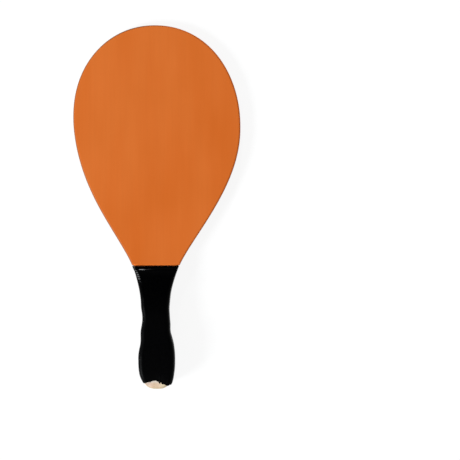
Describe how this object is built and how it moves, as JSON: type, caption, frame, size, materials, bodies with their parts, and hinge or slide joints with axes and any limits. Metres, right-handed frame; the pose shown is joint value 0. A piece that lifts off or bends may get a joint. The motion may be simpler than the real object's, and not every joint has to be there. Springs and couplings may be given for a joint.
{
  "type": "frescobol racket",
  "caption": "Wooden beach racket with an egg-shaped painted plywood blade, glued handle cheeks and a black shrunk grip sleeve.",
  "frame": {"origin": "middle of the racket's box, halfway through the blade's thickness", "axes": "+Y along the racket from the handle to the top of the head, +Z out of the front face, +X to the right when the front face is seen with the head up"},
  "size_m": [0.1932, 0.42, 0.0304],
  "materials": {
    "painted_face": "orange paint, satin, over plywood",
    "painted_edge": "orange paint, satin, over the plies' sawn edges",
    "bare_wood": "sanded, unfinished",
    "black_sleeve": "glossy, shrunk on"
  },
  "bodies": {
    "root": {"core_ply": "painted_edge", "front_crossband": "painted_edge", "back_crossband": "painted_edge", "front_face_veneer": "painted_face", "back_face_veneer": "painted_face", "front_cheek": "bare_wood", "back_cheek": "bare_wood", "grip_sleeve": "black_sleeve"}
  },
  "joints": []
}
